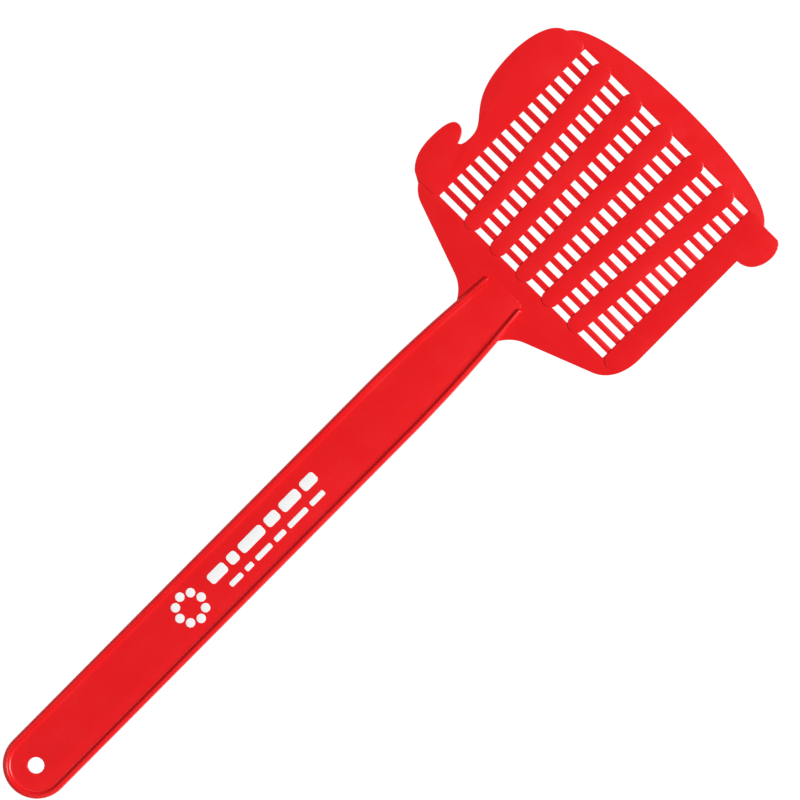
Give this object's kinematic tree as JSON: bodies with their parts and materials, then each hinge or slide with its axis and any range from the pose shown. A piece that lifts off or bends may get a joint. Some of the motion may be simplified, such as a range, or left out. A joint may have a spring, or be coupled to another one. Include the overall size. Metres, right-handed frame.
{
  "type": "fly swatter",
  "caption": "Plastic fly swatter: rimmed strap handle with a hanging hole in its round end, and a thin slotted head that flexes at the neck and lets air through as it strikes.",
  "frame": {"origin": "centre of the part's outline, on the plane that its back lies on", "axes": "+Z out of the front face, +Y along the handle towards the head, +X to the right seen from the front with the head up"},
  "size_m": [0.1398, 0.4064, 0.005],
  "materials": {
    "red_plastic": "glossy moulded soft plastic"
  },
  "bodies": {
    "handle": {"hang_eye": "red_plastic", "handle_web": "red_plastic", "neck_plate": "red_plastic", "rim_end": "red_plastic", "rim_left": "red_plastic", "rim_right": "red_plastic", "left_shoulder": "red_plastic", "right_shoulder": "red_plastic"},
    "head": {"bottom_band": "red_plastic", "top_band": "red_plastic", "left_border": "red_plastic", "left_hook": "red_plastic", "right_border": "red_plastic", "right_ear": "red_plastic", "cross_bar_01": "red_plastic", "cross_bar_02": "red_plastic", "cross_bar_03": "red_plastic", "cross_bar_04": "red_plastic", "cross_bar_05": "red_plastic", "cross_bar_06": "red_plastic", "cross_bar_07": "red_plastic", "cross_bar_08": "red_plastic", "cross_bar_09": "red_plastic", "cross_bar_10": "red_plastic", "cross_bar_11": "red_plastic", "cross_bar_12": "red_plastic", "cross_bar_13": "red_plastic", "cross_bar_14": "red_plastic", "cross_bar_15": "red_plastic", "cross_bar_16": "red_plastic", "rib_1": "red_plastic", "rib_2": "red_plastic", "rib_3": "red_plastic", "rib_4": "red_plastic", "rib_5": "red_plastic"}
  },
  "joints": [
    {"name": "neck_flex", "type": "hinge", "parent": "handle", "child": "head", "pos_m": [0, 0.0982, 0.0025], "axis": [1, 0, 0], "range_deg": [-25, 25], "stiffness_Nm_per_rad": 1.5}
  ]
}
